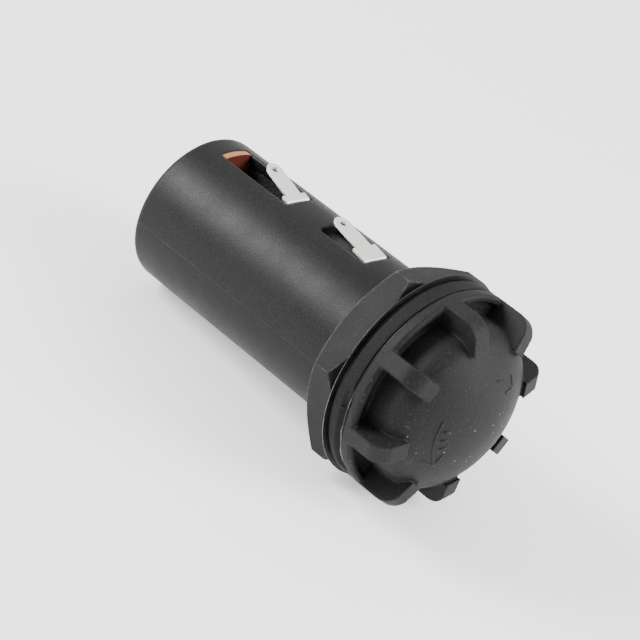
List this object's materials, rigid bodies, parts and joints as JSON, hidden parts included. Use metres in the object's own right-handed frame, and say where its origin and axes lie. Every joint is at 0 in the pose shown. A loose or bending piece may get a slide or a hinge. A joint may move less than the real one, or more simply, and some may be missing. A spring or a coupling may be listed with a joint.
{
  "type": "cartridge fuse holder",
  "caption": "Panel mounting cartridge fuse holder with ribbed screw cap, hexagonal panel nut and solder lugs, holding a cylindrical fuse.",
  "frame": {"origin": "on the barrel's axis, in the plane of the panel's front face, where the gasket seats", "axes": "+Y along the barrel to the rear, -Y out of the panel to the cap, +Z towards the solder lugs"},
  "size_m": [0.0388, 0.0719, 0.0388],
  "materials": {
    "black_plastic": "fine matt moulded texture",
    "nut_plastic": "fine matt moulded texture",
    "cap_plastic": "matt moulded texture",
    "grey_plastic": "smooth matt",
    "black_rubber": "satin rubber",
    "spring_steel": "bright drawn",
    "brass": "satin",
    "tinned_brass": "matt tin plating",
    "fibre": "pressed fibre",
    "nickel_plate": "nickel plated",
    "ceramic": "unglazed ceramic",
    "element_metal": "silvered strip"
  },
  "bodies": {
    "housing": {"barrel": "black_plastic", "panel_gasket": "black_rubber", "cap_seal": "black_rubber", "front_core": "grey_plastic", "middle_core": "grey_plastic", "rear_core": "grey_plastic", "front_contact": "brass", "rear_contact": "brass", "front_terminal": "tinned_brass", "rear_terminal": "tinned_brass", "lock_rings": "spring_steel", "contact_spring": "spring_steel", "rear_insulator": "fibre", "rear_plug": "black_plastic"},
    "nut": {"hex_nut": "nut_plastic"},
    "carrier": {"fuse_carrier": "grey_plastic", "fuse_cap_front": "nickel_plate", "fuse_cap_rear": "nickel_plate", "fuse_tube": "ceramic", "fuse_element": "element_metal"},
    "screw_cap": {"cap": "cap_plastic", "carrier_clip": "spring_steel"},
    "plunger": {"rear_plunger": "brass"}
  },
  "joints": [
    {"name": "nut_travel", "type": "slide", "parent": "housing", "child": "nut", "axis": [0, 1, 0], "range_m": [0, 0.005]},
    {"name": "carrier_slide", "type": "slide", "parent": "housing", "child": "carrier", "axis": [0, -1, 0], "range_m": [0, 0.006]},
    {"name": "cap_turn", "type": "hinge", "parent": "carrier", "child": "screw_cap", "pos_m": [0, -0.01, 0], "axis": [0, -1, 0], "range_deg": [0, 540]},
    {"name": "plunger_slide", "type": "slide", "parent": "housing", "child": "plunger", "axis": [0, 1, 0], "range_m": [0, 0.0015], "stiffness_N_per_m": 400, "springref_m": -0.004, "deforming": ["contact_spring"]}
  ],
  "couplings": [
    {"joint": "cap_turn", "follows": "carrier_slide", "rad_per_m": 1570.8}
  ]
}
